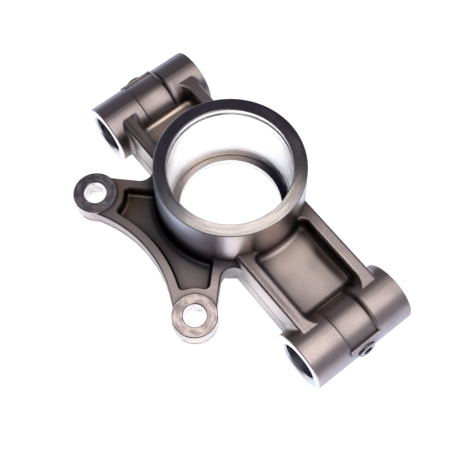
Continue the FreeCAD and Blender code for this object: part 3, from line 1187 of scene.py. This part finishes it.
@dataclass(frozen=True)
class SoftBox:
    """A square-cornered soft lamp.

    Attributes:
        name: The lamp's name.
        place: Position of its middle.
        aim: Point that it faces.
        size: Width and depth.
        radiance: Brightness of its face, where 1 is white.
        tint: Colour of its light.
        turn: Turn about the way it faces, in degrees.
    """

    name: str
    place: tuple
    aim: tuple
    size: tuple
    radiance: float
    tint: tuple = (1.0, 1.0, 1.0)
    turn: float = 0.0

    def make(self) -> bpy.types.Object:
        """Build the lamp.

        Returns:
            The lamp's object.
        """
        lamp = bpy.data.lights.new(self.name, "AREA")
        lamp.shape = "RECTANGLE"
        lamp.size, lamp.size_y = self.size
        lamp.energy = self.radiance * math.pi * self.size[0] * self.size[1]
        lamp.color = self.tint
        item = link(bpy.data.objects.new(self.name, lamp))
        way = Vector(self.aim) - Vector(self.place)
        turned = Matrix.Rotation(math.radians(self.turn), 3, "Z")
        facing = way.to_track_quat("-Z", "Y").to_matrix() @ turned
        item.rotation_euler = facing.to_euler()
        item.location = self.place
        return item


@dataclass
class Studio:
    """White sweep, one big soft lamp overhead and a dim room round it.

    Attributes:
        floor_side: Width of the floor.
        floor_gap: How far the floor lies under the casting.
        floor_colour: Colour of the floor's surface.
        floor_roughness: Roughness of the floor's surface.
        floor_glow: White that the camera sees added to the floor.
        table_glow: Colours that the metal mirrors from the floor, from near to far.
        table_middle: Position that those colours lie round.
        table_reach: Distance of the last of those colours.
        shade_reach: Distance within which the casting shades what the metal mirrors.
        room_dark: Colour of the room on the far side of the lamp.
        room_light: Colour of the room on the lamp's side.
        side_band: Shares along X between which the room turns lighter.
        front_dark: Share of the room's light that is left on the camera's side.
        front_band: Shares along Y between which the room turns to its full light.
        flag_colour: Colour of the dark flag beside the lamp.
        flag_way: Direction of that flag.
        flag_band: Closeness to that direction between which the flag begins.
        lamp: The soft lamp.
    """

    floor_side: float = 12.0
    floor_gap: float = 0.02 * MM
    floor_colour: tuple = (0.86, 0.86, 0.87, 1.0)
    floor_roughness: float = 0.9
    floor_glow: tuple = (0.90, 0.90, 0.90, 1.0)
    table_glow: tuple = (
        (0.05, (1.10, 1.10, 1.12, 1.0)),
        (0.12, (1.28, 1.31, 1.38, 1.0)),
        (0.24, (0.68, 0.80, 1.02, 1.0)),
        (0.34, (0.42, 0.49, 0.66, 1.0)),
        (1.00, (0.12, 0.13, 0.18, 1.0)),
    )
    table_middle: tuple = (0.0, -0.05, 0.0)
    table_reach: float = 0.5
    shade_reach: float = 0.007
    room_dark: tuple = (0.125, 0.118, 0.155, 1.0)
    room_light: tuple = (0.26, 0.26, 0.32, 1.0)
    side_band: tuple = (-0.7, 0.7)
    front_dark: float = 0.12
    front_band: tuple = (-0.5, 0.1)
    flag_colour: tuple = (0.038, 0.032, 0.046, 1.0)
    flag_way: tuple = (-0.45, 0.14, 0.882)
    flag_band: tuple = (0.90, 0.965)
    lamp: SoftBox = SoftBox(
        "key",
        place=(0.170, -0.020, 0.41),
        aim=(0.170, -0.020, 0.0),
        size=(0.568, 0.440),
        radiance=1.25,
        tint=(1.0, 0.985, 0.985),
        turn=12.0,
    )

    def floor(self) -> bpy.types.Object:
        """Build the floor, which glows white but keeps the casting's shadow.

        Returns:
            The floor's object.
        """
        mesh = bpy.data.meshes.new("floor")
        half = self.floor_side / 2
        level = CAD_BOX[0][2] - self.floor_gap
        outline = ((-half, -half), (half, -half), (half, half), (-half, half))
        mesh.from_pydata([(x, y, level) for x, y in outline], [], [(0, 1, 2, 3)])
        mesh.materials.append(self.floor_material())
        item = link(bpy.data.objects.new("floor", mesh))
        return item

    def floor_material(self) -> bpy.types.Material:
        """Build the floor's material: one glow for the camera, another for the metal.

        Returns:
            The finished material.
        """
        material, graph, surface = start_material("floor")
        surface.inputs["Base Color"].default_value = self.floor_colour
        surface.inputs["Roughness"].default_value = self.floor_roughness
        surface.inputs["Specular IOR Level"].default_value = 0.0
        surface.inputs["Emission Strength"].default_value = 1.0
        seen = graph.add("ShaderNodeLightPath").outputs
        place = graph.add("ShaderNodeTexCoord").outputs["Object"]
        reach = graph.vector("DISTANCE", place, self.table_middle)
        table = graph.ramp(graph.math("DIVIDE", reach, self.table_reach), self.table_glow)
        shade = graph.add(
            "ShaderNodeAmbientOcclusion", {"Color": table, "Distance": self.shade_reach}, samples=8
        )
        mirrored = graph.blend(seen["Is Glossy Ray"], BLACK, shade.outputs["Color"])
        glow = graph.blend(seen["Is Camera Ray"], mirrored, self.floor_glow)
        graph.feed(surface.inputs["Emission Color"], glow)
        return material

    def room(self) -> None:
        """Light the room dimly, a little brighter on the lamp's side, and show it white."""
        world = bpy.data.worlds.new("room")
        world.use_nodes = True
        bpy.context.scene.world = world
        graph = Graph(world.node_tree)
        backdrop = world.node_tree.nodes["Background"]
        way = graph.add("ShaderNodeTexCoord").outputs["Generated"]
        split = graph.add("ShaderNodeSeparateXYZ", {0: way}).outputs
        room = graph.blend(graph.spread(split[0], self.side_band), self.room_dark, self.room_light)
        front = graph.spread(split[1], self.front_band, (self.front_dark, 1.0))
        room = graph.blend(front, BLACK, room)
        towards = graph.vector("DOT_PRODUCT", way, self.flag_way)
        mirrored = graph.blend(graph.spread(towards, self.flag_band), room, self.flag_colour)
        seen = graph.add("ShaderNodeLightPath").outputs["Is Camera Ray"]
        graph.feed(backdrop.inputs["Color"], graph.blend(seen, mirrored, WHITE))

    def make(self) -> None:
        """Build the whole studio."""
        self.floor()
        self.room()
        self.lamp.make()
        Camera().make()
        bpy.context.scene.view_settings.view_transform = "Standard"


def main() -> None:
    """Build every class in order and report each piece."""
    logging.basicConfig(level=logging.INFO, format="%(name)s: %(message)s")
    materials = build_finishes()
    parts = [BearingRing(), PivotBarrel.named("long"), PivotBarrel.named("short"), CaliperBracket()]
    casting = Casting(parts).make(materials)
    flash = PartingFlash().make(casting, materials[Finish.CAST_SKIN])
    for piece in (casting, flash):
        LOG.info("%s: %d faces", piece.name, len(piece.data.polygons))
    Studio().make()


if __name__ == "__main__":
    main()
